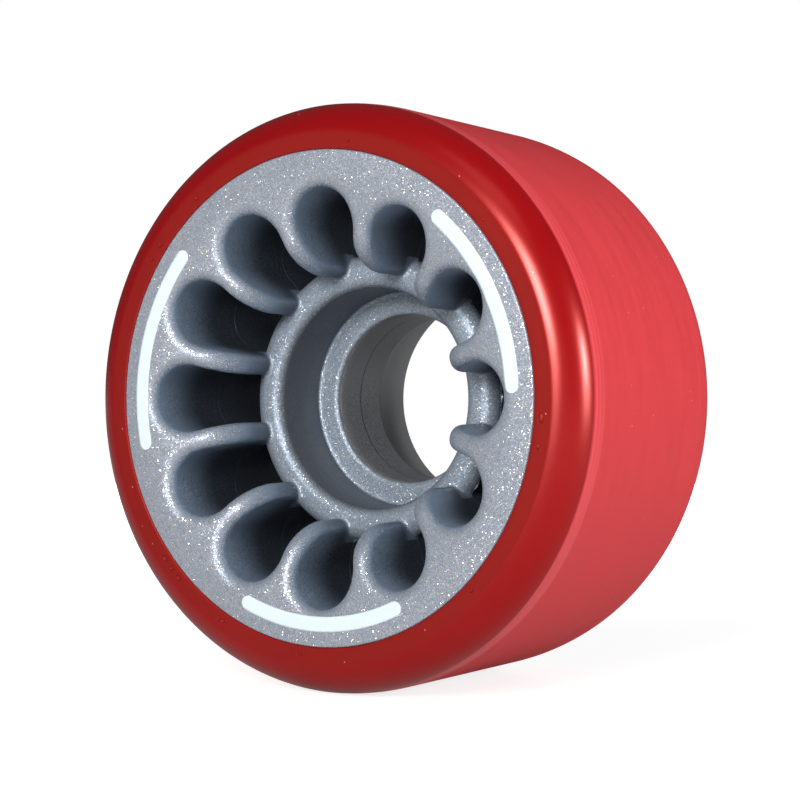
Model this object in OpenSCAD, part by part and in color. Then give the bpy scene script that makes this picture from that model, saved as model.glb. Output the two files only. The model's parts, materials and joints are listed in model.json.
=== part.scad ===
// Quad roller skate wheel: a cast urethane tyre on an open, spoked, moulded hub.
// The bearing core sits deep behind the printed front face and just proud of the back.
// Sizes are in millimetres. The axle runs along Y, the printed face looks along -Y.

/* [Tyre] */
// Diameter over the tread
tyre_d = 57; // [54:0.5:65]
// Thickness of the urethane from the hub to the tread
tyre_t = 4.8; // [3.6:0.1:8]
// Width from lip face to lip face
tyre_w = 29.8; // [28:0.1:36]
// Width of the turned tread between its two creases
tread_w = 24.4; // [20:0.1:25.4]
// Width of the flat lip between the hub and the crease of the shoulder
lip_w = 1.8; // [1:0.1:2.6]
// Angle that the shoulder's arc sweeps, in degrees
shoulder_sweep = 62; // [40:1:70]
// Height by which the tread falls away at its creases
tread_relief = 0.15; // [0.05:0.05:0.4]
// Width of the band over which the tread falls away
relief_w = 1.75; // [0.5:0.05:4]

/* [Hub rim] */
// Width of the rim's face outside the cavities
rim_w = 3.45; // [3.2:0.05:4.6]
// Chamfer on the hub's edge, which shows as a fine seam beside the tyre
seam = 0.15; // [0.05:0.05:0.4]
// Depth of the grooves round the hub that key the tyre on
key_depth = 1; // [0.5:0.1:1.8]
// Width of a keying groove at its mouth
key_w = 3.4; // [2:0.1:5]
// Distance between the middles of the two keying grooves
key_pitch = 12; // [8:0.5:16]
// Slope of a keying groove's sides, as a width
key_slope = 0.5; // [0.1:0.1:0.9]

/* [Spokes and cavities] */
// Number of spokes, with one cavity between each two
spoke_n = 12; // [10:1:13]
// Thickness of a spoke
spoke_t = 2; // [1.6:0.1:2.4]
// Rounding of the cavities' edges, limited by the spokes
edge_round = 0.95; // [0.4:0.05:1.2]
// Distance from the cavities' centres out to where a spoke's front edge leaves the rim's face
flush_out = 1.4; // [1.1:0.1:2]
// Distance by which a spoke's inner end reaches in over the core's front face
nose_in = 1.9; // [1.4:0.05:2.2]
// Depth at which the spoke's sloping edge would meet its inner end
nose_depth = 4.5; // [4:0.1:6]
// Radius of the round ridge where a spoke runs out into the rim's face
ridge_r = 2.8; // [2:0.1:3.2]
// Height by which that ridge stands above the rim beside it
ridge_h = 0.45; // [0.3:0.05:0.9]
// Depth of the mould's parting line in the cavities
parting_depth = 10.6; // [9.6:0.1:16]
// Height of the step that the parting line leaves
parting_step = 0.05; // [0.02:0.01:0.08]

/* [Bearing core] */
// Outside diameter of a bearing
bearing_d = 22; // [19:0.5:24]
// Width of a bearing
bearing_w = 7; // [6:0.5:8]
// Width of the land between the two bearing seats
land_w = 8.3; // [6:0.1:10.5]
// Diameter of the bore through the land
bore_d = 17.2; // [14:0.1:18.4]
// Outside diameter of the core
core_d = 28.4; // [27.6:0.1:30]
// Depth of the core's front face behind the rim's face
core_setback = 9.2; // [8:0.1:11]
// Distance by which the core reaches past the back bearing
back_lead = 1.4; // [0:0.1:2]
// Rounding of the core's outer edges
core_round = 2; // [0.4:0.1:2.1]
// Rounding of the front bearing seat's mouth
mouth_round = 1; // [0.2:0.05:1.1]
// Rounding of the back bearing seat's mouth
back_mouth_round = 0.4; // [0.2:0.05:0.6]
// Rounding of the land's two edges
land_round = 0.4; // [0.1:0.05:0.6]

/* [Printed bars] */
// Distance from the hub's edge to the middle of the bars
bar_inset = 2.2; // [1.9:0.05:2.4]
// Width of the bars
bar_w = 1.45; // [0.8:0.05:1.7]
// Thickness of the ink
ink_t = 0.05; // [0.02:0.01:0.1]
// Angle at which the right bar starts, counted anticlockwise from +X
bar_right_at = 3.1; // [0:0.1:10]
// Angle that the right bar covers
bar_right_sweep = 47.1; // [30:0.1:60]
// Angle at which the left bar starts
bar_left_at = 139.1; // [125:0.1:145]
// Angle that the left bar covers
bar_left_sweep = 52.9; // [30:0.1:60]
// Angle at which the bottom bar starts
bar_bottom_at = 248.1; // [240:0.1:255]
// Angle that the bottom bar covers
bar_bottom_sweep = 46.7; // [30:0.1:60]

/* [Hidden] */
$fn = 96;

// Steps in an edge's rounding, in the tyre's shoulder and along a printed bar
round_steps = 6;
shoulder_steps = 16;
bar_steps = 28;
cap_steps = 10;
// Margin by which cutters reach past a face, and by which hidden faces are kept apart
past = 1;
apart = 0.05;
skim = 0.01;
// A cutter's rounding stops short of lying flat on the face, by this angle
round_stop = 82;

// Radii
tyre_r = tyre_d / 2;
hub_r = tyre_r - tyre_t;
lip_r = hub_r + lip_w;
crease_r = tyre_r - tread_relief;
seat_r = bearing_d / 2;
bore_r = bore_d / 2;
core_r = core_d / 2;
nose_r = core_r - nose_in;
bar_r = hub_r - bar_inset;

// Depths behind the rim's front face
shoulder_w = (tyre_w - tread_w) / 2;
core_back = core_setback + 2 * bearing_w + land_w + back_lead;
front_shoulder = core_setback + bearing_w;
back_shoulder = front_shoulder + land_w;
back_most = max(tyre_w, core_back);

// The origin is the middle of the wheel's box, ink included
face_y = ink_t - (ink_t + back_most) / 2;

// Cavities: each round end touches the two spokes beside it and the rim
half_pitch = 180 / spoke_n;
cavity_pitch_r = (hub_r - rim_w + spoke_t / 2) / (1 + sin(half_pitch));
cavity_r = cavity_pitch_r * sin(half_pitch) - spoke_t / 2;
tooth_r = cavity_pitch_r * cos(half_pitch);
cavity_round = min(edge_round, spoke_t / 2 - apart);

// Spokes, in the plane of one spoke: [radius, depth]
spoke_flush_r = cavity_pitch_r + flush_out;
rod_r = spoke_t / 2 - apart;
web_t = 2 * (rod_r - 2 * apart);
slope = atan2(nose_depth, spoke_flush_r - nose_r);
along = [-cos(slope), sin(slope)];
inward = [sin(slope), cos(slope)];
flush = [spoke_flush_r, 0];
nose_run = (spoke_flush_r + rod_r * sin(slope) - nose_r - rod_r) / cos(slope);
nose = flush + rod_r * inward + nose_run * along;
tooth_run = (spoke_flush_r - tooth_r) / cos(slope);
ridge_top = flush - past * along + ridge_r * inward;
ridge_foot = flush + tooth_run * along + spoke_t / 2 * inward;
root_r = tooth_r + past;
root_run = (spoke_flush_r - root_r) / cos(slope);
root = flush + root_run * along + rod_r * inward;
back_rod_depth = tyre_w - spoke_t / 2;

// The rim's inner corner is cut back beside the ridges
cut_r = spoke_flush_r + ridge_h / sin(slope);
cut_depth = (cut_r - tooth_r) * tan(slope);

// Points round an arc from angle a0 to a1 about the point mid
function arc(mid, r, a0, a1, steps) =
    [for (i = [0:steps]) mid + r * [cos(a0 + (a1 - a0) * i / steps), sin(a0 + (a1 - a0) * i / steps)]];

function mirrored(points, width) =
    [for (i = [len(points) - 1:-1:0]) [points[i][0], width - points[i][1]]];

// Stands the wheel up, with depth running along +Y
module in_place() {
    translate([0, face_y, 0])
        rotate([-90, 0, 0])
            children();
}

module round_about(n) {
    for (i = [0:n - 1])
        rotate([0, 0, i * 360 / n])
            children();
}

// Tyre and hub share this line of keying grooves: [radius, depth]
function key_line() = [
    for (side = [-1, 1])
        let (mid = tyre_w / 2 + side * key_pitch / 2)
        for (p = [[0, -key_w / 2], [key_depth, key_slope - key_w / 2],
                  [key_depth, key_w / 2 - key_slope], [0, key_w / 2]])
            [hub_r - p[0], mid + p[1]]
];

// One shoulder from the lip's crease to the tread, then the tread's relief
function shoulder_line() =
    let (from = [lip_r, 0],
         to = [crease_r, shoulder_w],
         chord = to - from,
         r = norm(chord) / (2 * sin(shoulder_sweep / 2)),
         lean = atan2(chord[1], chord[0]),
         first = lean - 90 - shoulder_sweep / 2,
         mid = from - r * [cos(first), sin(first)])
    concat(arc(mid, r, first, first + shoulder_sweep, shoulder_steps),
           [[tyre_r, shoulder_w + relief_w]]);

module tyre() {
    outside = concat(shoulder_line(), mirrored(shoulder_line(), tyre_w));
    line = key_line();
    inside = [for (i = [len(line) - 1:-1:0]) line[i]];
    color("firebrick")
        in_place()
            rotate_extrude()
                polygon(concat([[hub_r, 0]], outside, [[hub_r, tyre_w]], inside));
}

// The ring that carries the tyre, before the cavities are cut
module rim_blank() {
    rotate_extrude()
        polygon(concat([[tooth_r, cut_depth], [cut_r, 0], [hub_r - seam, 0], [hub_r, seam]],
                       key_line(),
                       [[hub_r, tyre_w - seam], [hub_r - seam, tyre_w], [tooth_r, tyre_w]]));
}

// Cuts one end of a cavity from a face at depth 0 down to the depth given
module cavity_cutter(r, depth) {
    rounding = arc([r + cavity_round, cavity_round], cavity_round, 180 + round_stop, 180, round_steps);
    edge = rounding[0] + (rounding[0][1] + apart) * [tan(round_stop), -1];
    rotate_extrude()
        polygon(concat([[0, -past], [edge[0], -past], edge], rounding, [[r, depth], [0, depth]]));
}

module cavity() {
    translate([cavity_pitch_r, 0, 0])
        cavity_cutter(cavity_r, parting_depth);
    translate([cavity_pitch_r, 0, tyre_w])
        mirror([0, 0, 1])
            cavity_cutter(cavity_r - parting_step, tyre_w - parting_depth + past);
}

// A round bar or cone between two points of a spoke's plane
module rod(from, to, r_from, r_to) {
    run = to - from;
    translate([from[0], 0, from[1]])
        rotate([0, atan2(run[0], run[1]), 0])
            cylinder(h = norm(run), r1 = r_from, r2 = r_to);
}

// The ridge that carries a spoke's round edge out into the rim's face
module ridge() {
    intersection() {
        rod(ridge_foot, ridge_top, spoke_t / 2, ridge_r);
        translate([0, 0, skim])
            cylinder(h = tyre_w / 2, r = hub_r - key_depth - past);
    }
}

module rim() {
    difference() {
        union() {
            rim_blank();
            round_about(spoke_n) rotate([0, 0, half_pitch]) ridge();
        }
        round_about(spoke_n) cavity();
    }
}

module spoke_web(outline, thickness) {
    rotate([90, 0, 0])
        linear_extrude(height = thickness, center = true)
            polygon(outline);
}

// One spoke: a web with a round front edge that dives to the core, and a round back edge
module spoke() {
    seat = [nose[0], core_setback + core_round];
    back_in = [nose[0], back_rod_depth];
    back_out = [root_r, back_rod_depth];
    lap_in = [nose[0], parting_depth + past];
    lap_out = [root_r, parting_depth + past];
    spoke_web([root, nose, lap_in, lap_out], web_t);
    spoke_web([[root_r, parting_depth], [nose[0], parting_depth], back_in, back_out],
              web_t + 2 * parting_step);
    rod(root, nose, rod_r, rod_r);
    translate([nose[0], 0, nose[1]])
        sphere(r = spoke_t / 2);
    rod(nose, seat, rod_r, rod_r);
    rod(back_in, back_out, rod_r, rod_r);
}

// The tube with the two bearing seats and the land between them
module core() {
    step_depth = max(parting_depth, core_setback + core_round) + apart;
    back_r = core_r + parting_step;
    rotate_extrude()
        polygon(concat(
            arc([core_r - core_round, core_setback + core_round], core_round, 270, 360, round_steps),
            [[core_r, step_depth], [back_r, step_depth]],
            arc([back_r - core_round, core_back - core_round], core_round, 0, 90, round_steps),
            arc([seat_r + back_mouth_round, core_back - back_mouth_round], back_mouth_round, 90, 180, round_steps),
            [[seat_r, back_shoulder]],
            arc([bore_r + land_round, back_shoulder - land_round], land_round, 90, 180, round_steps),
            arc([bore_r + land_round, front_shoulder + land_round], land_round, 180, 270, round_steps),
            [[seat_r, front_shoulder]],
            arc([seat_r + mouth_round, core_setback + mouth_round], mouth_round, 180, 270, round_steps)));
}

module hub() {
    color("lightslategray")
        in_place()
            union() {
                rim();
                round_about(spoke_n) rotate([0, 0, half_pitch]) spoke();
                core();
            }
}

// One round-ended bar of ink on the front face
module bar(start, sweep) {
    end = start + sweep;
    half = bar_w / 2;
    outline = concat(
        arc([0, 0], bar_r + half, start, end, bar_steps),
        arc(bar_r * [cos(end), sin(end)], half, end, end + 180, cap_steps),
        arc([0, 0], bar_r - half, end, start, bar_steps),
        arc(bar_r * [cos(start), sin(start)], half, start + 180, start + 360, cap_steps));
    translate([0, face_y, 0])
        rotate([90, 0, 0])
            linear_extrude(height = ink_t)
                polygon(outline);
}

module printed_bars() {
    color("white") {
        bar(bar_right_at, bar_right_sweep);
        bar(bar_left_at, bar_left_sweep);
        bar(bar_bottom_at, bar_bottom_sweep);
    }
}

hub();
tyre();
printed_bars();
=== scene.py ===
import json
import math

import bpy
import numpy as np
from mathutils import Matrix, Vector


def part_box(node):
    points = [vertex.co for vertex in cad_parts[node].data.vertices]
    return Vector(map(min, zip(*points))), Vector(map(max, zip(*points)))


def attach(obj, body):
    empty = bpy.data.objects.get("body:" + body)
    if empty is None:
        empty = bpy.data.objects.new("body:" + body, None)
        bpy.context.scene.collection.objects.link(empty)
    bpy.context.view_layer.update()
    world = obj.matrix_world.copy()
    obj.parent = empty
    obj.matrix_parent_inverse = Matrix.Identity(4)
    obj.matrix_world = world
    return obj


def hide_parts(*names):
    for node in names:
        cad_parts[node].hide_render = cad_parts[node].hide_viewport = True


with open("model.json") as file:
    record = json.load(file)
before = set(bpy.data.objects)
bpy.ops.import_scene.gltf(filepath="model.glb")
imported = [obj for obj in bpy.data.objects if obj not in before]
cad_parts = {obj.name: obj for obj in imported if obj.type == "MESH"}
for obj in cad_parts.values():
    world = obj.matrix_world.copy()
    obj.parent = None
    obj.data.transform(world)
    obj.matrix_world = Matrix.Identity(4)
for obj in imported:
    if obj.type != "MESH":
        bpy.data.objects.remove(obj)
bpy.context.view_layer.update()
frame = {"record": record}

# Sizes of the wheel are in millimetres and become metres when a mesh is made.
MM = 0.001

# Places and sizes taken from the frame, as depths behind the hub's front face
hub_low, hub_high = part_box("hub")
tyre_low, tyre_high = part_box("tyre")
FACE_Y = hub_low.y / MM
TYRE_R = tyre_high.x / MM
TYRE_W = (tyre_high.y - tyre_low.y) / MM
HUB_R = hub_high.x / MM
CORE_BACK = hub_high.y / MM - FACE_Y
mounts = {m["name"]: m for m in frame["record"]["mounts"]}
SEAT_R = mounts["front_bearing_seat"]["dims"]["r_mm"]
BORE_R = mounts["axle_bore"]["dims"]["r_mm"]

# Tyre
LIP_R = 25.5
SHOULDER_W = 2.7
SHOULDER_SWEEP = 62
TREAD_RELIEF = 0.15
RELIEF_W = 1.75
TURNED_LINES = 3
TURNED_DEPTH = 0.02
SEAM_GAP = 0.02
TYRE_STEPS = 360

# Nibs of urethane left at the front seam: degrees from +X, length round the seam and width
NIBS = ((41, 0.5, 0.3), (81, 0.4, 0.26), (126, 0.5, 0.4), (141, 0.6, 0.36), (145, 0.4, 0.3),
        (221, 0.8, 0.46), (224, 0.5, 0.4), (227, 0.7, 0.4), (243, 0.7, 0.36), (266, 0.4, 0.3),
        (315, 0.5, 0.3), (350, 0.6, 0.36), (356, 1.1, 0.56))
NIB_R = 24.55
NIB_RISE = 0.22

# Hub rim, cavities and spokes
SPOKES = 12
SPOKE_HALF = 1.0
CAVITY_PITCH_R = 16.881
EDGE_ROUND = 0.98
FLUSH_R = 17.2
NOSE_R = 12.57
NOSE_DEPTH = 2.81
CREST_BLEND = 2.6
NOSE_ROUND = 3.1
ROOT_FILLET = 0.03
SEAM_ROUND = 0.15
DRAFT = 0.008

# Printed bars: start and sweep in degrees from +X, then the points across and along one
BAR_R = 21.5
BAR_W = 1.45
BAR_TIP = 0.02
INK_T = 0.05
INK_SUNK = 0.02
BARS = ((3.1, 47.1), (139.1, 52.9), (248.1, 46.7))
BAR_ACROSS = 9
BAR_ALONG = 90

# Parting line of the mould, how far its flash stands out of the walls, and the ripple that it starts at
PARTING_DEPTH = 10.6
PARTING_STEP = 0.04
FLASH_HALF = 0.04
FLASH_LEAST = 0.02
FLASH_AT_CORE = 0.3
FLASH_AT_RIM = 0.15
FLASH_BARE = 0.25

# Bearing core
CORE_R = 14.35
CORE_SETBACK = 9.2
CORE_ROUND = 1.6
MOUTH_ROUND = 1.15
BACK_MOUTH_ROUND = 0.4
LAND_ROUND = 0.4
BEARING_W = 7.0
LAND_W = 8.3
FRONT_SHOULDER = CORE_SETBACK + BEARING_W
BACK_SHOULDER = FRONT_SHOULDER + LAND_W
BORE_PARTING = 20.45
BORE_LIGHT_LINE = 16.75

# Grid of the hub's mesh: a start, then stops with the step up to each, finer where the surface bends.
# EDGE_LINE and SHOULDER_LINE keep its lines just off the hub's edge and the front shoulder.
EDGE_LINE = HUB_R - 0.00001
SHOULDER_LINE = FRONT_SHOULDER + 0.00001
HUB_RADII = (BORE_R - 0.4, (SEAT_R + 0.6, 0.34), (19.6, 0.3), (EDGE_LINE - 0.3, 0.76),
             (EDGE_LINE + 0.3, 0.1))
HUB_DEPTHS = (-0.35, (1.5, 0.185), (CORE_SETBACK - 0.2, 0.34), (PARTING_DEPTH - 0.15, 0.24),
              (PARTING_DEPTH + 0.15, 0.05), (PARTING_DEPTH + 0.6, 0.22), (SHOULDER_LINE - 0.4, 2.3),
              (SHOULDER_LINE + 0.4, 0.2), (BACK_SHOULDER - 0.7, 2.4), (BACK_SHOULDER + 0.5, 0.2),
              (TYRE_W - 1.6, 1.6), (CORE_BACK + 0.5, 0.26))
STEPS_PER_SPOKE = 36

# Hub's colours and the number of flakes to a metre
FACE_GREYS = ((0.30, 0.34, 0.42, 1), (0.325, 0.365, 0.445, 1))
# The core's recessed front is a darker grey: painted shade
CORE_FACE_SHADE_GREY = (0.25, 0.305, 0.38, 1)
FLAKE_GREY = (0.58, 0.60, 0.66, 1)
GLINT_COLOUR = (0.83, 0.77, 0.66, 1)
# Painted shade of the walls from the cavities' mouths to deep inside, of the core's ring, the front seat
# and the bore
WALL_MOUTH_SHADE_BLUE = (0.30, 0.385, 0.51, 1)
WALL_DEEP_SHADE_GREY = (0.045, 0.055, 0.072, 1)
CORE_RING_SHADE_GREY = (0.17, 0.215, 0.28, 1)
FRONT_SEAT_SHADE_GREY = (0.132, 0.147, 0.175, 1)
# The back seat is lighter than the front one: painted light
BACK_SEAT_LIT_GREY = (0.40, 0.405, 0.415, 1)
BORE_SHADE_GREY = (0.26, 0.265, 0.28, 1)
BORE_PARTING_GREY = (0.02, 0.02, 0.022, 1)
# A light, broken line round the bore just past the land
BORE_LIGHT_LINE_GREY = (0.55, 0.57, 0.6, 1)
FLAKE_SCALE = 12500

# Tyre's colours
SHOULDER_REDS = ((0.245, 0.001, 0.003, 1), (0.29, 0.003, 0.005, 1))
LIP_REDS = ((0.21, 0.009, 0.008, 1), (0.245, 0.011, 0.010, 1))
# The band's reds are lighter than the tread's: a painted sheen
BAND_SHEEN_REDS = ((0.68, 0.06, 0.072, 1), (0.74, 0.072, 0.085, 1))
TREAD_REDS = ((0.53, 0.038, 0.045, 1), (0.74, 0.064, 0.076, 1))
CREASE_RED = (0.42, 0.02, 0.045, 1)
SCUFF_RED = (0.72, 0.12, 0.12, 1)
DUST_PINK = (0.8, 0.5, 0.5, 1)
GLOSS_TINT = (1.0, 0.12, 0.09, 1)

# Ink's colours
INK_WHITES = ((0.70, 0.81, 0.85, 1), (0.77, 0.86, 0.89, 1))
PINHOLE_GREY = (0.35, 0.38, 0.42, 1)

# Camera: turn about Z in degrees, lens in millimetres, and place in metres from the middle of the face
VIEW_TURN = 32.9238
LENS = 84.885
SENSOR = 36
CAMERA_ASIDE = 0.104415
CAMERA_AWAY = 0.146354
CAMERA_UP = -0.000159

# Lamps: name, azimuth and elevation in degrees, distance, width and height in metres, radiance, in gloss
LAMPS = (
    ("front_key", 12, 18, 0.34, 0.09, 0.1, 32, True),
    ("front_box", 9, -2, 0.35, 0.14, 0.28, 3.2, True),
    ("side_key", 90, 11, 0.24, 0.03, 0.045, 50, True),
    ("side_box", 92, -2, 0.35, 0.12, 0.26, 6.6, True),
    ("top_box", 22, 52, 0.35, 0.16, 0.1, 0.9, True),
    ("fill_box", 50, -4, 0.35, 0.1, 0.1, 6, False),
    ("back_box", 214, 6, 0.45, 0.3, 0.12, 14, False),
)

# Room: degrees from the view's line at which the backdrop starts and is full, and the levels of light
BACKDROP_START = 9
BACKDROP_FULL = 4
ROOM_IN_GLOSS = 0.06
ROOM_FILL = 0.09
WHITE = (1, 1, 1, 1)

# Floor: half its side in metres, and its glow from one distance in metres to another at two levels
FLOOR_HALF = 6.0
FLOOR_GREY = (0.45, 0.45, 0.45, 1)
# In gloss the glow is dim near the wheel: painted shade on the floor round it
GLOW_IN_GLOSS = (0.4, 3.0, 0.06, 0.97)
GLOW_TO_CAMERA = (0.04, 0.2, 0.78, 0.97)


def round_max(a, b, radius):
    """The greater of two distances, with the edge where they meet rounded."""
    edge = np.hypot(np.maximum(radius + a, 0), np.maximum(radius + b, 0))
    return np.minimum(-radius, np.maximum(a, b)) + edge


def round_min(a, b, radius):
    """The lesser of two distances, with a fillet where they meet."""
    return -round_max(-a, -b, radius)


def soft_max(a, b, width):
    """The greater of two distances, blended over a width."""
    near = np.maximum(width - np.abs(a - b), 0) / width
    return np.maximum(a, b) + near * near * width / 4


def ripple(angle):
    """Uneven waves from about -1 to 1 round the wheel, for flash that comes and goes."""
    waves = np.sin(7 * angle + 1.3) + np.sin(17 * angle + 0.4) + np.sin(41 * angle + 2.1)
    return (waves + 0.7 * np.sin(97 * angle + 0.8)) / 3.2


def cavity_wall(r, angle, depth):
    """Distance into a cavity from the nearest spoke or rim wall, seen along the axle."""
    pitch = 2 * math.pi / SPOKES
    from_spoke = np.abs((angle % pitch) - pitch / 2)
    along = r * np.cos(from_spoke)
    aside = r * np.sin(from_spoke)
    mid_along = CAVITY_PITCH_R * math.cos(pitch / 2)
    mid_aside = CAVITY_PITCH_R * math.sin(pitch / 2)
    end_r = mid_aside - SPOKE_HALF
    round_end = end_r - np.hypot(along - mid_along, aside - mid_aside)
    wall = np.where(along < mid_along, aside - SPOKE_HALF, round_end)
    from_face = np.minimum(depth, TYRE_W - depth)
    step = np.where(depth > PARTING_DEPTH, PARTING_STEP, 0)
    return wall - DRAFT * from_face - step


def spoked_rim(r, angle, depth):
    """The rim and its spokes: one face that dives to the core, cut by the cavities."""
    slope = math.atan2(NOSE_DEPTH, FLUSH_R - NOSE_R)
    dive = (FLUSH_R - r) * math.sin(slope) - depth * math.cos(slope)
    face = soft_max(-depth, dive, CREST_BLEND)
    face = round_max(face, NOSE_R - r, NOSE_ROUND)
    wall = cavity_wall(r, angle, depth)
    front = round_max(face, wall, EDGE_ROUND)
    back = round_max(depth - TYRE_W, np.maximum(wall, NOSE_R - r), EDGE_ROUND)
    return round_max(np.maximum(front, back), r - HUB_R, SEAM_ROUND)


def bearing_core(r, depth):
    """The tube with a bearing seat at each end and a land between."""
    step = np.where(depth > PARTING_DEPTH, PARTING_STEP, 0)
    tube = round_max(r - CORE_R - step, CORE_SETBACK - depth, CORE_ROUND)
    tube = round_max(tube, depth - CORE_BACK, CORE_ROUND)
    front_seat = np.maximum(r - SEAT_R, depth - FRONT_SHOULDER)
    back_seat = np.maximum(r - SEAT_R, BACK_SHOULDER - depth)
    tube = round_max(tube, -front_seat, MOUTH_ROUND)
    tube = round_max(tube, -back_seat, BACK_MOUTH_ROUND)
    return round_max(tube, BORE_R - r, LAND_ROUND)


def hub_field(r, angle, depth):
    """Distance to the hub's surface, below zero inside it, with flash along the parting line."""
    body = round_min(spoked_rim(r, angle, depth), bearing_core(r, depth), ROOT_FILLET)
    burr = np.where(r < CORE_R + 0.6, FLASH_AT_CORE, FLASH_AT_RIM)
    reach = FLASH_LEAST + burr * np.maximum(ripple(angle) - FLASH_BARE, 0)
    flash = np.maximum(np.abs(depth - PARTING_DEPTH) - FLASH_HALF, body - reach)
    flash = np.where((r > SEAT_R + 1) & (r < HUB_R - 2), flash, 1.0)
    return np.minimum(body, flash)


def spans(start, *runs):
    """Grid lines from a start through runs that each have a stop and about the step given."""
    lines = [start]
    for stop, step in runs:
        count = max(round((stop - lines[-1]) / step), 1)
        lines.extend(np.linspace(lines[-1], stop, count + 1)[1:])
    return np.array(lines)


def cell_corner(grid, c):
    """A grid's values at one corner of each cell. The cells close on themselves round the axle."""
    shifted = np.roll(grid, -c[1], axis=1)
    return shifted[c[0]:grid.shape[0] - 1 + c[0], :, c[2]:grid.shape[2] - 1 + c[2]]


def net_points(values):
    """The cells that the zero surface passes through, and a point on it in each, in grid steps."""
    corners = [(i, j, k) for i in (0, 1) for j in (0, 1) for k in (0, 1)]
    count = sum(cell_corner(values < 0, c).astype(int) for c in corners)
    cells = np.nonzero((count > 0) & (count < len(corners)))
    at = {c: cell_corner(values, c)[cells] for c in corners}
    place = np.zeros((3, len(cells[0])))
    hits = np.zeros(len(cells[0]))
    for c in corners:
        for axis in range(3):
            if c[axis]:
                continue
            other = tuple(1 if n == axis else c[n] for n in range(3))
            a, b = at[c], at[other]
            cross = (a < 0) != (b < 0)
            part = np.where(cross, a / np.where(cross, a - b, 1), 0)
            for n in range(3):
                place[n] += np.where(cross, part if n == axis else c[n], 0)
            hits += cross
    return cells, place / hits + np.array(cells)


def net_quads(inside, cells):
    """Quads that join the points of the four cells round each grid edge that the surface crosses."""
    rows, steps, columns = inside.shape
    ids = np.full((rows - 1, steps, columns - 1), -1)
    ids[cells] = np.arange(len(cells[0]))
    quads = []
    for axis in range(3):
        change = inside != np.roll(inside, -1, axis=axis)
        b, c = [n for n in range(3) if n != axis]
        keep = [slice(None)] * 3
        for n in (0, 2):
            keep[n] = slice(0, -1) if n == axis else slice(1, -1)
        found = np.nonzero(change[tuple(keep)])
        found = [found[n] + (1 if n != axis and n != 1 else 0) for n in range(3)]
        ring = []
        for back_b, back_c in ((1, 1), (0, 1), (0, 0), (1, 0)):
            where = [f.copy() for f in found]
            where[b] = where[b] - back_b
            where[c] = where[c] - back_c
            where[1] = where[1] % steps
            ring.append(ids[tuple(where)])
        quad = np.stack(ring, axis=1)
        flip = inside[tuple(found)] == (axis == 1)
        quad[flip] = quad[flip][:, ::-1]
        quads.append(quad)
    return np.concatenate(quads)


def ring_net(radii, steps, depths, field):
    """Points and quads of the surface where field is zero, on a grid that runs round the axle."""
    turn = 2 * math.pi / steps
    angles = np.arange(steps) * turn
    values = field(radii[:, None, None], angles[None, :, None], depths[None, None, :])
    cells, place = net_points(values)
    r = np.interp(place[0], np.arange(len(radii)), radii)
    depth = np.interp(place[2], np.arange(len(depths)), depths)
    points = np.stack([r * np.cos(place[1] * turn), r * np.sin(place[1] * turn), depth], axis=1)
    return points, net_quads(values < 0, cells)


def slopes(points, field):
    """Value and gradient of a field at points given as x, z and depth."""
    def value(p):
        return field(np.hypot(p[:, 0], p[:, 1]), np.arctan2(p[:, 1], p[:, 0]), p[:, 2])
    reach = 0.004
    gradient = np.zeros_like(points)
    for n in range(3):
        move = np.zeros(3)
        move[n] = reach
        gradient[:, n] = (value(points + move) - value(points - move)) / (2 * reach)
    return value(points), gradient


def settle(points, field, rounds=3, most=0.08, least_slope=0.25):
    """Moves points on to the surface of a field, a little at a time."""
    for _ in range(rounds):
        value, gradient = slopes(points, field)
        size = np.maximum((gradient ** 2).sum(axis=1), least_slope)
        step = np.clip(value / size, -most, most)
        points = points - step[:, None] * gradient
    return points


def mesh_piece(name, points, faces):
    """A smooth mesh object from points given as x, z and depth in millimetres."""
    placed = np.stack([points[:, 0], points[:, 2] + FACE_Y, points[:, 1]], axis=1) * MM
    mesh = bpy.data.meshes.new(name)
    mesh.from_pydata(placed.tolist(), [], [list(f) for f in faces])
    mesh.validate()
    mesh.shade_smooth()
    piece = bpy.data.objects.new(name, mesh)
    bpy.context.scene.collection.objects.link(piece)
    return piece


def make_hub():
    """The hub, meshed from its field and settled on to its surface."""
    steps = STEPS_PER_SPOKE * SPOKES
    points, quads = ring_net(spans(*HUB_RADII), steps, spans(*HUB_DEPTHS), hub_field)
    return mesh_piece("hub_moulding", settle(points, hub_field), quads)


def face_depth(r, angle):
    """Depth at which the hub's front surface lies, found by halving."""
    low, high = np.full(r.shape, -0.3), np.full(r.shape, 1.2)
    for _ in range(24):
        middle = (low + high) / 2
        inside = spoked_rim(r, angle, middle) < 0
        low, high = np.where(inside, low, middle), np.where(inside, middle, high)
    return high


def bar_grid(start, sweep):
    """Radius and angle of the points of one round-ended bar, in rows across it."""
    cap = math.degrees(BAR_W / 2 / BAR_R)
    ends = cap * (1 - np.cos(np.linspace(0, math.pi / 2, BAR_ACROSS)))
    middle = np.linspace(start, start + sweep, BAR_ALONG)[1:-1]
    run = np.concatenate([start - cap + ends, middle, (start + sweep + cap - ends)[::-1]])
    past = np.maximum(np.maximum(start - run, run - start - sweep), 0) / cap
    half = BAR_W / 2 * np.sqrt(np.maximum(1 - past ** 2, BAR_TIP ** 2))
    r = BAR_R + np.outer(half, np.linspace(-1, 1, BAR_ACROSS))
    return r, np.broadcast_to(np.radians(run)[:, None], r.shape)


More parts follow.
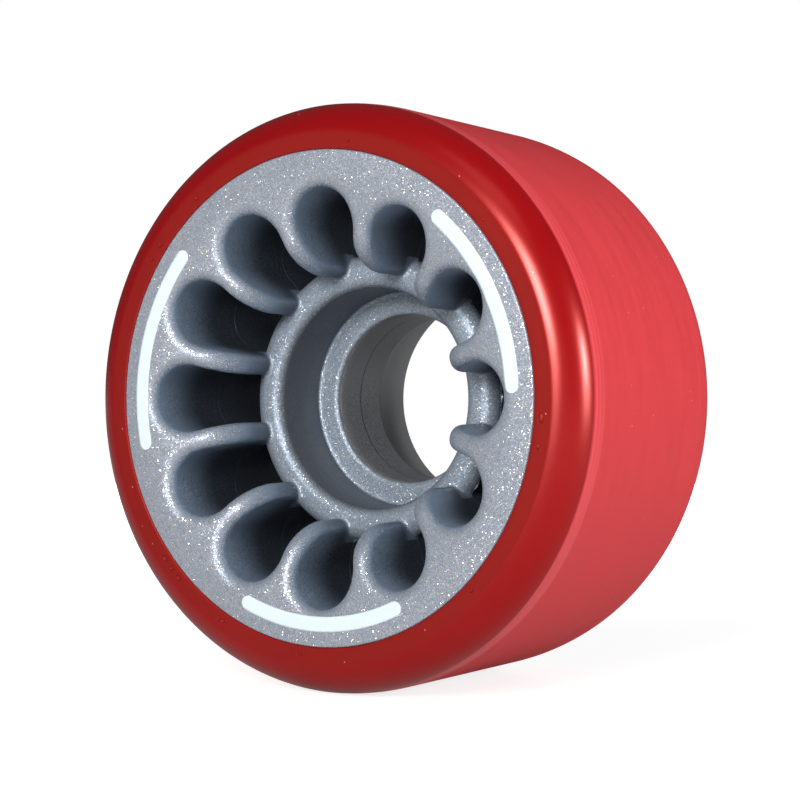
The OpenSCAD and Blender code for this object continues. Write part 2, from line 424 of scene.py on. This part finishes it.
def slab_faces(top, under):
    """Quads of a thin slab between two grids of point numbers, closed at its edges."""
    faces = []
    rows, columns = top.shape
    for i in range(rows - 1):
        for j in range(columns - 1):
            faces.append([top[i, j], top[i + 1, j], top[i + 1, j + 1], top[i, j + 1]])
            faces.append([under[i, j + 1], under[i + 1, j + 1], under[i + 1, j], under[i, j]])
        faces.append([top[i, 0], under[i, 0], under[i + 1, 0], top[i + 1, 0]])
        faces.append([top[i + 1, -1], under[i + 1, -1], under[i, -1], top[i, -1]])
    for i, way in ((0, 1), (rows - 1, -1)):
        for j in range(columns - 1):
            faces.append([top[i, j], top[i, j + 1], under[i, j + 1], under[i, j]][::way])
    return faces


def make_bars():
    """The three printed bars, laid on the face and over the cavities' rounded edges."""
    points = np.zeros((0, 3))
    faces = []
    for start, sweep in BARS:
        r, angle = bar_grid(start, sweep)
        depth = face_depth(r, angle)
        top = len(points) + np.arange(r.size).reshape(r.shape)
        faces += slab_faces(top, top + r.size)
        for lift in (-INK_T, INK_SUNK):
            layer = np.stack([r * np.cos(angle), r * np.sin(angle), depth + lift], axis=2)
            points = np.concatenate([points, layer.reshape(-1, 3)])
    return mesh_piece("ink_bars", points, faces)


def arc(mid, radius, start, stop, steps):
    """Points of an arc round mid, between two angles in degrees."""
    angles = np.radians(np.linspace(start, stop, steps + 1))
    return np.stack([mid[0] + radius * np.cos(angles), mid[1] + radius * np.sin(angles)], axis=1)


def shoulder_profile():
    """Radius and depth from the seam over the lip and shoulder to the tread."""
    crease_r = TYRE_R - TREAD_RELIEF
    low, high = np.array([LIP_R, 0.0]), np.array([crease_r, SHOULDER_W])
    chord = high - low
    half = SHOULDER_SWEEP / 2
    radius = np.hypot(*chord) / (2 * math.sin(math.radians(half)))
    lean = math.degrees(math.atan2(chord[1], chord[0]))
    first = lean - 90 - half
    mid = low - radius * np.array([math.cos(math.radians(first)), math.sin(math.radians(first))])
    seam = arc((HUB_R + SEAM_GAP + SEAM_ROUND, SEAM_ROUND), SEAM_ROUND, 180, 270, 4)
    lip = [(HUB_R + 0.6, 0), (LIP_R - 0.6, 0), (LIP_R - 0.15, 0)]
    bend = arc(mid, radius, first, first + SHOULDER_SWEEP, 22)
    along = np.linspace(0.03, 1, 31)
    turned = TURNED_DEPTH * (1 - np.cos(2 * math.pi * TURNED_LINES * along)) / 2
    band_r = TYRE_R - TREAD_RELIEF * (1 - along) ** 2 - turned
    band = np.stack([band_r, SHOULDER_W + RELIEF_W * along], axis=1)
    tread = [(TYRE_R, SHOULDER_W + RELIEF_W + 0.5), (TYRE_R, SHOULDER_W + RELIEF_W + 2.5)]
    return np.concatenate([seam, lip, bend, band, tread])


def grid_quads(rows, columns, closed):
    """Quads of a grid of points whose rows close on themselves, and whose columns do if closed."""
    i, j = np.meshgrid(np.arange(rows if closed else rows - 1), np.arange(columns), indexing="ij")
    i2, j2 = (i + 1) % rows, (j + 1) % columns
    quads = np.stack([i * columns + j, i * columns + j2, i2 * columns + j2, i2 * columns + j], axis=2)
    return quads.reshape(-1, 4).tolist()


def nib(angle, length, width):
    """Points and faces of one low rounded nib on the lip."""
    rings, steps = 7, 14
    tip = 0.05
    polar = np.linspace(tip, math.pi - tip, rings)
    turn = np.arange(steps) * 2 * math.pi / steps
    out = NIB_R + width / 2 * np.outer(np.sin(polar), np.cos(turn))
    aside = length / 2 * np.outer(np.sin(polar), np.sin(turn))
    depth = -NIB_RISE * np.outer(np.cos(polar), np.ones(steps))
    a = math.radians(angle)
    x = out * math.cos(a) - aside * math.sin(a)
    z = out * math.sin(a) + aside * math.cos(a)
    ends = [np.arange(steps)[::-1].tolist(), ((rings - 1) * steps + np.arange(steps)).tolist()]
    return np.stack([x, z, depth], axis=2).reshape(-1, 3), grid_quads(rings, steps, False) + ends


def make_tyre():
    """The tyre, turned from its profile, with the nibs on its front lip."""
    front = shoulder_profile()
    back = front[::-1] * [1, -1] + [0, TYRE_W]
    profile = np.concatenate([front, back])
    angles = np.arange(TYRE_STEPS) * 2 * math.pi / TYRE_STEPS
    x = np.outer(np.cos(angles), profile[:, 0])
    z = np.outer(np.sin(angles), profile[:, 0])
    depth = np.tile(profile[:, 1], (TYRE_STEPS, 1))
    points = np.stack([x, z, depth], axis=2).reshape(-1, 3)
    faces = grid_quads(TYRE_STEPS, len(profile), True)
    for angle, length, width in NIBS:
        more, more_faces = nib(angle, length, width)
        faces += [[len(points) + n for n in face] for face in more_faces]
        points = np.concatenate([points, more])
    return mesh_piece("tyre_casting", points, faces)


class Nodes:
    """A node tree that is built step by step. An input is a socket to link or a plain value."""

    def __init__(self, tree):
        self.tree = tree

    def put(self, socket, value):
        """Links a socket to another one, or sets its value."""
        if isinstance(value, bpy.types.NodeSocket):
            self.tree.links.new(value, socket)
        else:
            socket.default_value = value

    def node(self, kind, inputs, **settings):
        """A new node with its settings and inputs."""
        made = self.tree.nodes.new(kind)
        for key, value in settings.items():
            setattr(made, key, value)
        for key, value in inputs.items():
            self.put(made.inputs[key], value)
        return made

    def math(self, operation, a, b=0.0):
        """One step of arithmetic."""
        return self.node("ShaderNodeMath", {0: a, 1: b}, operation=operation).outputs[0]

    def product(self, first, *others):
        """Values multiplied together."""
        for other in others:
            first = self.math("MULTIPLY", first, other)
        return first

    def inverse(self, value):
        """1 less a value."""
        return self.math("SUBTRACT", 1.0, value)

    def vector(self, operation, a, b=(0, 0, 0)):
        """One step of vector arithmetic that gives a vector."""
        return self.node("ShaderNodeVectorMath", {0: a, 1: b}, operation=operation).outputs[0]

    def scaled(self, vector, factor):
        """A vector times a number."""
        return self.node("ShaderNodeVectorMath", {0: vector, "Scale": factor}, operation="SCALE").outputs[0]

    def ramp(self, value, low, high, to_low=0.0, to_high=1.0):
        """A smooth step from to_low at low to to_high at high."""
        inputs = {"Value": value, "From Min": low, "From Max": high, "To Min": to_low, "To Max": to_high}
        return self.node("ShaderNodeMapRange", inputs, interpolation_type="SMOOTHSTEP").outputs[0]

    def ramp_mm(self, value, low, high, to_low=0.0, to_high=1.0):
        """A smooth step between two places given in millimetres."""
        return self.ramp(value, low * MM, high * MM, to_low, to_high)

    def line(self, value, at, half, fade, level=1.0):
        """A line at a place: level up to half away from it, and 0 from fade on, in millimetres."""
        off = self.math("ABSOLUTE", self.math("SUBTRACT", value, at * MM))
        return self.ramp_mm(off, half, fade, level, 0.0)

    def mix(self, factor, a, b):
        """One colour turning into another."""
        return self.node("ShaderNodeMix", {0: factor, 6: a, 7: b}, data_type="RGBA").outputs[2]

    def blend(self, factor, a, b):
        """One number turning into another."""
        return self.node("ShaderNodeMix", {0: factor, 2: a, 3: b}, data_type="FLOAT").outputs[0]

    def noise(self, vector, scale, detail=2.0):
        """Soft noise from 0 to 1."""
        inputs = {"Vector": vector, "Scale": scale, "Detail": detail}
        return self.node("ShaderNodeTexNoise", inputs).outputs[0]

    def cells(self, vector, scale):
        """Random cells: the distance from each cell's middle, and a colour of its own."""
        made = self.node("ShaderNodeTexVoronoi", {"Vector": vector, "Scale": scale}, feature="F1")
        return made.outputs["Distance"], made.outputs["Color"]

    def channels(self, colour):
        """Red, green and blue of a colour."""
        return self.node("ShaderNodeSeparateColor", {0: colour}).outputs

    def specks(self, vector, scale, small, large, rare):
        """Round specks with a soft edge, in the cells whose red is above rare."""
        distance, colour = self.cells(vector, scale)
        near = self.ramp(distance, small, large, 1.0, 0.0)
        return self.product(near, self.ramp(self.channels(colour)[0], rare, rare + 0.02))

    def bump(self, height, distance, strength=1.0):
        """A normal that a height disturbs."""
        inputs = {"Height": height, "Distance": distance, "Strength": strength}
        return self.node("ShaderNodeBump", inputs).outputs[0]

    def place(self):
        """The place on the piece, in metres."""
        return self.node("ShaderNodeTexCoord", {}).outputs["Object"]

    def split(self, vector):
        """The three parts of a vector."""
        return self.node("ShaderNodeSeparateXYZ", {0: vector}).outputs

    def join(self, x, y):
        """A vector of two parts."""
        return self.node("ShaderNodeCombineXYZ", {0: x, 1: y}).outputs[0]


class Material(Nodes):
    """A procedural material on one Principled shader."""

    def __init__(self, name):
        self.material = bpy.data.materials.new(name)
        self.material.use_nodes = True
        super().__init__(self.material.node_tree)
        self.shader = self.tree.nodes["Principled BSDF"]

    def set(self, **values):
        """Sets or links the shader's own sockets."""
        for key, value in values.items():
            self.put(self.shader.inputs[key.replace("_", " ")], value)


def wheel_place(m, place):
    """Radius, depth behind the front face and depth behind the nearer face, in metres."""
    x, y, z = m.split(place)
    r = m.math("SQRT", m.math("ADD", m.product(x, x), m.product(z, z)))
    front = m.math("SUBTRACT", y, FACE_Y * MM)
    depth = m.math("MINIMUM", front, m.math("SUBTRACT", TYRE_W * MM, front))
    return r, front, depth


def painted_wall_shade(m, place, r, front, depth):
    """Painted shade on the walls, which grow dark with depth, with the core's ring, the seats and the bore
    apart, and painted light on the back seat.
    """
    # Painted shade: the walls darken with depth below the cavities' mouths
    mouth_fall = 0.7
    mouth = m.product(m.math("MAXIMUM", m.math("SUBTRACT", FLUSH_R * MM, r), 0.0), mouth_fall)
    sunk = m.math("SUBTRACT", depth, mouth)
    wall = m.mix(m.ramp_mm(sunk, 0.6, 7.5), WALL_MOUTH_SHADE_BLUE, WALL_DEEP_SHADE_GREY)
    # The core's ring takes a bluish painted shade
    ring_r = m.ramp_mm(r, CORE_R + 0.25, CORE_R + 0.45, 1.0, 0.0)
    ring_end = m.ramp_mm(depth, PARTING_DEPTH - 0.3, PARTING_DEPTH, 1.0, 0.0)
    ring_start = m.ramp_mm(depth, CORE_SETBACK - 0.8, CORE_SETBACK + 0.2)
    wall = m.mix(m.product(ring_r, ring_end, ring_start), wall, CORE_RING_SHADE_GREY)
    # The seats: painted shade at the front, painted light at the back
    far = m.ramp_mm(front, BACK_SHOULDER - 0.2, BACK_SHOULDER + 0.1)
    seat = m.mix(far, FRONT_SEAT_SHADE_GREY, BACK_SEAT_LIT_GREY)
    wall = m.mix(m.ramp_mm(r, SEAT_R + 0.6, SEAT_R + 1.6), seat, wall)
    # The bore takes a grey painted shade, with its dark parting line
    bore = m.ramp_mm(r, BORE_R + 0.3, BORE_R + 0.6, 1.0, 0.0)
    wall = m.mix(bore, wall, BORE_SHADE_GREY)
    parting = m.line(front, at=BORE_PARTING, half=0.03, fade=0.1)
    wall = m.mix(m.product(bore, parting), wall, BORE_PARTING_GREY)
    # A light, broken line round the bore just past the land
    light_line = m.line(front, at=BORE_LIGHT_LINE, half=0.04, fade=0.12, level=0.7)
    broken = m.ramp(m.noise(place, 900, 3), 0.45, 0.6)
    return m.mix(m.product(bore, light_line, broken), wall, BORE_LIGHT_LINE_GREY)


def hub_material():
    """Grey plastic whose flakes lie flat in the faces, with painted shade that makes the walls and the core
    darker and bluer.
    """
    m = Material("flake_plastic")
    where = m.node("ShaderNodeTexCoord", {})
    place = where.outputs["Object"]
    r, front, depth = wheel_place(m, place)

    # Flakes, each with a tilt of its own, and a few bright ones
    flake = m.cells(place, FLAKE_SCALE)[1]
    red, green, blue = m.channels(flake)
    chance = m.math("FRACT", m.math("ADD", m.product(red, 13.7), m.product(blue, 7.9)))
    bright = m.ramp(chance, 0.85, 0.87)
    tilt = m.scaled(m.vector("SUBTRACT", flake, (0.5, 0.5, 0.5)), m.blend(bright, 0.34, 0.6))
    normal = m.node("ShaderNodeNewGeometry", {}).outputs["Normal"]
    normal = m.vector("NORMALIZE", m.vector("ADD", normal, tilt))

    # Faces across the axle, without the insides of the cavities, and the core's front
    across = m.math("ABSOLUTE", m.split(where.outputs["Normal"])[1])
    inside = m.product(m.ramp_mm(r, CORE_R + 0.15, CORE_R + 0.45), m.ramp_mm(depth, 7, 8))
    flat = m.product(m.ramp(across, 0.12, 0.95), m.inverse(inside))
    core = m.product(m.ramp_mm(r, CORE_R + 0.25, CORE_R + 0.65, 1.0, 0.0), m.ramp_mm(front, 7, 8))

    cloud = m.ramp(m.noise(place, 260, 4), 0.3, 0.7)
    # The core's front gets a darker painted shade, with fewer pale flakes and glints
    face = m.mix(core, m.mix(cloud, *FACE_GREYS), CORE_FACE_SHADE_GREY)
    pale = m.product(m.ramp(green, 0.5, 1.0, 0.0, 0.55), m.blend(core, 1.0, 0.5))
    face = m.mix(pale, face, FLAKE_GREY)
    # Surfaces that turn from the axle take the walls' painted shade in place of the face's colour
    colour = m.mix(flat, painted_wall_shade(m, place, r, front, depth), face)
    glint = m.product(bright, m.ramp(flat, 0.0, 0.3), m.blend(core, 1.0, 0.55))
    m.set(Base_Color=m.mix(glint, colour, GLINT_COLOUR), Normal=normal)
    m.set(Metallic=m.blend(glint, 0.4, 0.75), Roughness=m.blend(glint, 0.44, 0.26))
    return m.material


def tyre_material():
    """Red urethane: satin on the lip, glossy on the shoulder, turned and matte on the tread, with a painted
    sheen on the band.
    """
    m = Material("cast_urethane")
    place = m.place()
    r, front, depth = wheel_place(m, place)
    x, y, z = m.split(place)
    around = m.product(m.math("ARCTAN2", z, x), TYRE_R * MM)

    # Zones from the seam to the tread
    lip = m.ramp_mm(r, LIP_R - 0.5, LIP_R + 0.4, 1.0, 0.0)
    tread = m.ramp_mm(depth, SHOULDER_W - 0.05, SHOULDER_W + 0.05)
    shoulder = m.product(m.inverse(tread), m.inverse(lip))
    crease = m.line(front, at=SHOULDER_W + 0.1, half=0.05, fade=0.14, level=0.6)
    band_end = SHOULDER_W + RELIEF_W
    inner = m.ramp_mm(front, band_end - 0.15, band_end + 0.15)
    band = m.product(tread, m.inverse(inner))

    # Turned lines and streaks run round the tread, and scuffs cross it at a slant
    lines = m.noise(m.join(m.product(depth, 9000), m.product(r, 300)), 1.0, 3)
    lines = m.blend(0.45, lines, m.noise(place, 320, 5))
    streak = m.noise(m.join(m.product(front, 900), m.product(around, 90)), 1.0, 3)
    shade = m.blend(0.6, lines, streak)
    along = m.product(m.math("ADD", front, around), 350)
    aside = m.product(m.math("SUBTRACT", front, around), 2600)
    scuff = m.ramp(m.noise(m.join(along, aside), 1.0, 2), 0.68, 0.74)

    cloud = m.noise(place, 90, 3)
    moulded_red = m.mix(lip, m.mix(cloud, *SHOULDER_REDS), m.mix(cloud, *LIP_REDS))
    tread_red = m.mix(m.product(scuff, 0.35), m.mix(shade, *TREAD_REDS), SCUFF_RED)
    # The band is lighter than the tread: a painted sheen
    turned_red = m.mix(inner, m.mix(lines, *BAND_SHEEN_REDS), tread_red)
    turned_red = m.mix(crease, turned_red, CREASE_RED)
    dust = m.specks(place, 800, small=0.03, large=0.06, rare=0.68)
    m.set(Base_Color=m.mix(dust, m.mix(tread, moulded_red, turned_red), DUST_PINK))

    moulded_rough = m.blend(lip, 0.28, 0.46)
    turned_rough = m.blend(inner, 0.42, m.ramp(shade, 0.3, 0.7, 0.52, 0.62))
    m.set(Roughness=m.blend(tread, moulded_rough, turned_rough))
    m.set(Normal=m.bump(m.product(lines, tread), distance=0.00002, strength=0.6))
    m.set(Coat_Weight=m.math("MAXIMUM", m.product(shoulder, 0.42), m.product(band, 0.35)))
    m.set(Coat_Roughness=0.26, IOR=1.6, Specular_IOR_Level=1.0, Specular_Tint=GLOSS_TINT)
    return m.material


def ink_material():
    """White ink with a few pinholes."""
    m = Material("white_ink")
    place = m.place()
    cloud = m.noise(place, 3000, 2)
    pinhole = m.specks(place, 1500, small=0.06, large=0.12, rare=0.93)
    m.set(Base_Color=m.mix(pinhole, m.mix(cloud, *INK_WHITES), PINHOLE_GREY))
    m.set(Roughness=m.ramp(cloud, 0.2, 0.8, 0.4, 0.6))
    return m.material


def add_camera():
    """The photo's view: level, and turned from the front of the wheel towards +X."""
    camera = bpy.data.cameras.new("camera")
    camera.lens = LENS
    camera.sensor_width = SENSOR
    camera.clip_start = 0.01
    holder = bpy.data.objects.new("camera", camera)
    holder.location = (CAMERA_ASIDE, FACE_Y * MM - CAMERA_AWAY, CAMERA_UP)
    holder.rotation_euler = (math.pi / 2, 0, math.radians(VIEW_TURN))
    bpy.context.scene.collection.objects.link(holder)
    bpy.context.scene.camera = holder


def add_softbox(name, azimuth, elevation, away, width, height, radiance, in_gloss):
    """An area lamp that faces the wheel. Azimuth 0 is in front of the printed face, 90 is at +X."""
    lamp = bpy.data.lights.new(name, "AREA")
    lamp.shape = "RECTANGLE"
    lamp.size = width
    lamp.size_y = height
    lamp.energy = radiance * math.pi * width * height
    holder = bpy.data.objects.new(name, lamp)
    a, e = math.radians(azimuth), math.radians(elevation)
    level = away * math.cos(e)
    holder.location = (level * math.sin(a), -level * math.cos(a), away * math.sin(e))
    holder.rotation_euler = (math.pi / 2 - e, 0, a)
    holder.visible_camera = False
    holder.visible_glossy = in_gloss
    bpy.context.scene.collection.objects.link(holder)


def shown_rays(n):
    """1 for a ray from the camera, a gloss or a glass, and then 1 for a ray from the camera alone."""
    rays = n.node("ShaderNodeLightPath", {}).outputs
    shown = n.math("MAXIMUM", rays["Is Camera Ray"], rays["Is Glossy Ray"])
    return n.math("MAXIMUM", shown, rays["Is Transmission Ray"]), rays["Is Camera Ray"]


def add_world():
    """A dim room, white to the camera, with a white backdrop beyond the wheel for its gloss."""
    world = bpy.data.worlds.new("studio")
    world.use_nodes = True
    world.node_tree.nodes.clear()
    n = Nodes(world.node_tree)
    turn = math.radians(VIEW_TURN)
    beyond = (-math.sin(turn), math.cos(turn), 0)
    way = n.node("ShaderNodeTexCoord", {}).outputs["Generated"]
    facing = n.node("ShaderNodeVectorMath", {0: way, 1: beyond}, operation="DOT_PRODUCT").outputs["Value"]
    start = math.cos(math.radians(BACKDROP_START))
    full = math.cos(math.radians(BACKDROP_FULL))
    shown, seen = shown_rays(n)
    backdrop = n.math("MAXIMUM", n.ramp(facing, start, full, ROOM_IN_GLOSS, 1.0), seen)
    white = n.node("ShaderNodeBackground", {"Color": WHITE, "Strength": backdrop}).outputs[0]
    fill = n.node("ShaderNodeBackground", {"Color": WHITE, "Strength": ROOM_FILL}).outputs[0]
    both = n.node("ShaderNodeMixShader", {0: shown, 1: fill, 2: white}).outputs[0]
    n.node("ShaderNodeOutputWorld", {0: both})
    bpy.context.scene.world = world


def add_floor():
    """A pale floor that is white to the camera away from the wheel and keeps its shadow; in gloss it is dim
    near the wheel, a painted shade.
    """
    mesh = bpy.data.meshes.new("floor")
    sides = ((-1, -1), (1, -1), (1, 1), (-1, 1))
    corners = [(x * FLOOR_HALF, y * FLOOR_HALF, -TYRE_R * MM) for x, y in sides]
    mesh.from_pydata(corners, [], [(0, 1, 2, 3)])
    floor = bpy.data.objects.new("floor", mesh)
    bpy.context.scene.collection.objects.link(floor)
    material = bpy.data.materials.new("pale_floor")
    material.use_nodes = True
    material.node_tree.nodes.clear()
    n = Nodes(material.node_tree)
    diffuse = n.node("ShaderNodeBsdfDiffuse", {"Color": FLOOR_GREY}).outputs[0]
    spot = n.node("ShaderNodeNewGeometry", {}).outputs["Position"]
    away = n.node("ShaderNodeVectorMath", {0: spot}, operation="LENGTH").outputs["Value"]
    shown, seen = shown_rays(n)
    # Gloss sees the floor's glow dim near the wheel, a painted shade
    level = n.blend(seen, n.ramp(away, *GLOW_IN_GLOSS), n.ramp(away, *GLOW_TO_CAMERA))
    glow = n.node("ShaderNodeEmission", {"Color": WHITE, "Strength": level}).outputs[0]
    glowing = n.node("ShaderNodeAddShader", {0: diffuse, 1: glow}).outputs[0]
    both = n.node("ShaderNodeMixShader", {0: shown, 1: diffuse, 2: glowing}).outputs[0]
    n.node("ShaderNodeOutputMaterial", {0: both})
    mesh.materials.append(material)


pieces = (
    (make_hub(), hub_material(), "hub", "hub"),
    (make_tyre(), tyre_material(), "tyre", "tyre"),
    (make_bars(), ink_material(), "printed_bars", "ink"),
)
for piece, material, node, slot in pieces:
    piece.data.materials.append(material)
    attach(piece, "root")
    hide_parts(node)

add_camera()
for lamp in LAMPS:
    add_softbox(*lamp)
add_world()
add_floor()

bpy.context.scene.view_settings.view_transform = "Standard"
